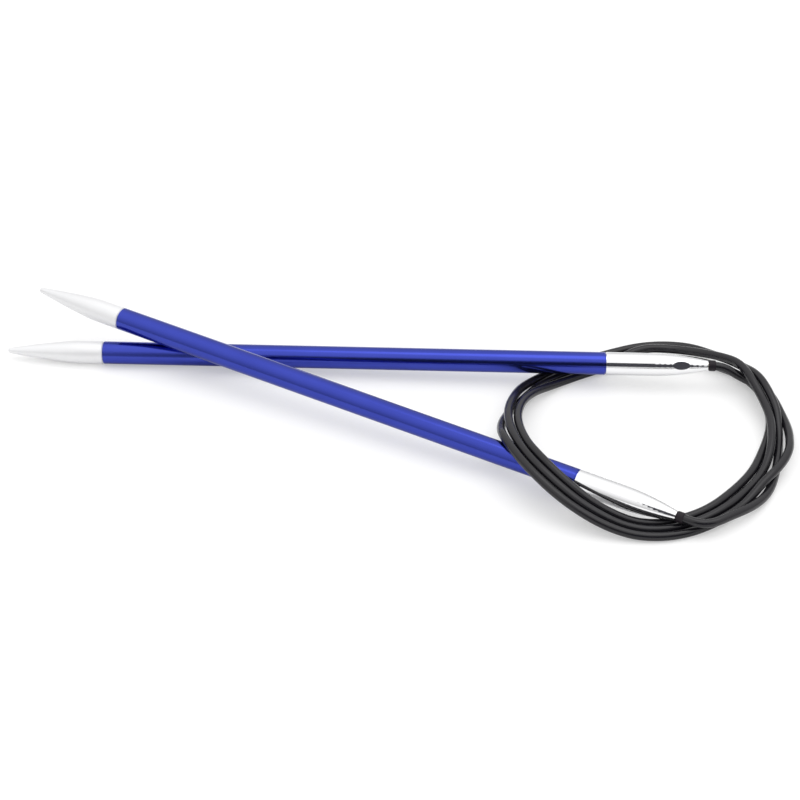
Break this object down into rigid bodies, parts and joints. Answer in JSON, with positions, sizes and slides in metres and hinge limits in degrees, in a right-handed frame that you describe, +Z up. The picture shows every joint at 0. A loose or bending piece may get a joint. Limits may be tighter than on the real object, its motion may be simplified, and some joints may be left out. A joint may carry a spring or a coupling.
{
  "type": "circular knitting needle",
  "caption": "Circular knitting needle with bare metal points, anodised blue shafts, swivelling metal cable joins and a thin black cable lying coiled.",
  "frame": {"origin": "middle of the whole object's footprint, on the table top it lies on", "axes": "+Z up from the table; +X along the needles, from their points towards the coil of cable; +Y away from the needle that lies on top"},
  "size_m": [0.1371, 0.0609, 0.0091],
  "materials": {
    "polished_metal": "polished",
    "satin_metal": "satin",
    "blue_anodised": "satin anodised",
    "pin_brass": "turned",
    "collar_black": "satin",
    "cable_jacket": "satin",
    "core_steel": "drawn wire"
  },
  "bodies": {
    "cable": {"coil_jacket": "cable_jacket", "coil_core": "core_steel"},
    "rear_cable_end": {"rear_end_jacket": "cable_jacket", "rear_end_core": "core_steel", "rear_collar": "collar_black", "rear_swivel_pin": "pin_brass"},
    "rear_needle": {"rear_point": "satin_metal", "rear_shaft_tube": "blue_anodised", "rear_ferrule": "polished_metal"},
    "front_cable_end": {"front_end_jacket": "cable_jacket", "front_end_core": "core_steel", "front_collar": "collar_black", "front_swivel_pin": "pin_brass"},
    "front_needle": {"front_point": "satin_metal", "front_shaft_tube": "blue_anodised", "front_ferrule": "polished_metal"}
  },
  "joints": [
    {"name": "rear_bend", "type": "hinge", "parent": "cable", "child": "rear_cable_end", "pos_m": [0.05749, 0.01115, 0.00468], "axis": [0, 0, 1], "range_deg": [-8, 0]},
    {"name": "rear_swivel", "type": "hinge", "parent": "rear_cable_end", "child": "rear_needle", "pos_m": [0.0553, 0.0113, 0.00463], "axis": [0.9975, -0.0673, 0.0236], "continuous": true},
    {"name": "front_bend", "type": "hinge", "parent": "cable", "child": "front_cable_end", "pos_m": [0.04865, -0.02806, 0.00277], "axis": [0, 0, 1], "range_deg": [0, 2.5]},
    {"name": "front_swivel", "type": "hinge", "parent": "front_cable_end", "child": "front_needle", "pos_m": [0.0467, -0.02705, 0.00285], "axis": [0.8872, -0.4599, -0.0384], "continuous": true}
  ]
}
